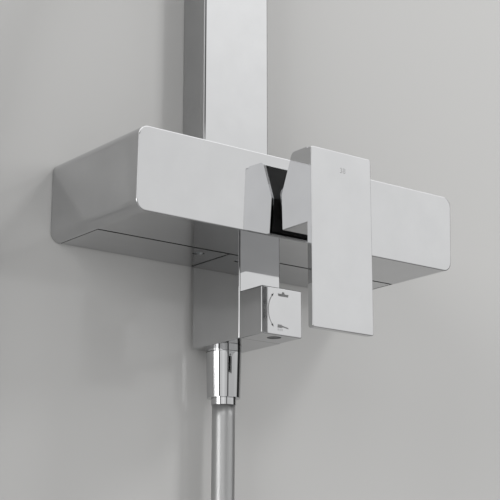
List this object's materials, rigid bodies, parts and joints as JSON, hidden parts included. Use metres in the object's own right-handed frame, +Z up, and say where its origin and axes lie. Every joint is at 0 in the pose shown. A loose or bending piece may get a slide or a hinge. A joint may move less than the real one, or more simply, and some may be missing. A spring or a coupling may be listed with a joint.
{
  "type": "shower set",
  "caption": "Wall-mounted chrome shower set: box mixer with blade lever, square diverter knob, hose and hand shower, flat column and square overhead head.",
  "frame": {"origin": "on the wall plane, behind the middle of the mixer's casing", "axes": "+Z up, +Y into the wall, -Y towards the user, +X to the user's right"},
  "size_m": [0.3803, 0.549, 1.5263],
  "materials": {
    "chrome": "polished chrome plate",
    "brass": "machined brass",
    "steel": "stainless steel",
    "rubber": "sealing rubber",
    "plastic": "moulded plastic",
    "ceramic": "ground ceramic",
    "plug": "dark grey plastic",
    "nozzle": "grey silicone",
    "hose": "satin silver plastic"
  },
  "bodies": {
    "mixer": {"casing": "chrome", "service_panel": "chrome", "panel_screws": "steel", "valve_body": "brass", "union_left": "brass", "union_right": "brass", "union_nuts": "brass", "union_gaskets": "rubber", "check_valves": "plastic", "cartridge_housing": "plastic", "cartridge_seals": "rubber", "fixed_disc": "ceramic", "cartridge_nut": "brass", "neck_sleeve": "chrome", "diverter_body": "chrome", "diverter_neck": "brass", "diverter_cartridge": "brass", "outlet_nipple": "chrome", "mixer_hose_nut": "chrome", "mixer_washer": "rubber", "mixer_ferrule": "chrome", "hose": "hose", "column": "chrome", "riser_connector": "brass", "riser_pipe": "brass", "column_brackets": "steel", "column_set_screws": "steel", "column_head": "chrome", "overhead_arm": "chrome", "head_clevis": "chrome", "hinge_pin": "steel", "holder_clamp": "chrome", "holder_cradle": "chrome", "holder_screw": "steel"},
    "temperature": {"cartridge_turret": "plastic", "moving_disc": "ceramic", "pivot_pin": "steel"},
    "lever": {"lever_stem": "brass", "lever_block": "chrome", "lever_insert": "plug", "lever_grub_screw": "steel", "lever_blade": "chrome"},
    "diverter": {"diverter_spindle": "brass", "diverter_knob": "chrome", "knob_grub_screw": "steel", "knob_plug": "plug"},
    "rain_head": {"rain_neck": "chrome", "rain_shell": "chrome", "rain_face": "chrome", "rain_nozzles": "nozzle"},
    "handset": {"handset_body": "chrome", "handset_face": "chrome", "handset_nozzles": "nozzle", "hand_hose_nut": "chrome", "hand_washer": "rubber", "hand_ferrule": "chrome"}
  },
  "joints": [
    {"name": "temperature_swing", "type": "hinge", "parent": "mixer", "child": "temperature", "pos_m": [0, -0.095, 0], "axis": [0, -1, 0], "range_deg": [-45, 45]},
    {"name": "lever_tilt", "type": "hinge", "parent": "temperature", "child": "lever", "pos_m": [0, -0.095, 0], "axis": [-1, 0, 0], "range_deg": [0, 20]},
    {"name": "diverter_turn", "type": "hinge", "parent": "mixer", "child": "diverter", "pos_m": [-0.0043, -0.0602, -0.07365], "axis": [0, -1, 0], "range_deg": [0, 180]},
    {"name": "rain_head_tilt", "type": "hinge", "parent": "mixer", "child": "rain_head", "pos_m": [0, -0.399, 0.9653], "axis": [1, 0, 0], "range_deg": [-15, 15]},
    {"name": "handset_lift", "type": "slide", "parent": "mixer", "child": "handset", "axis": [0, 0, 1], "range_m": [0, 0.12], "deforming": ["hose"]}
  ]
}
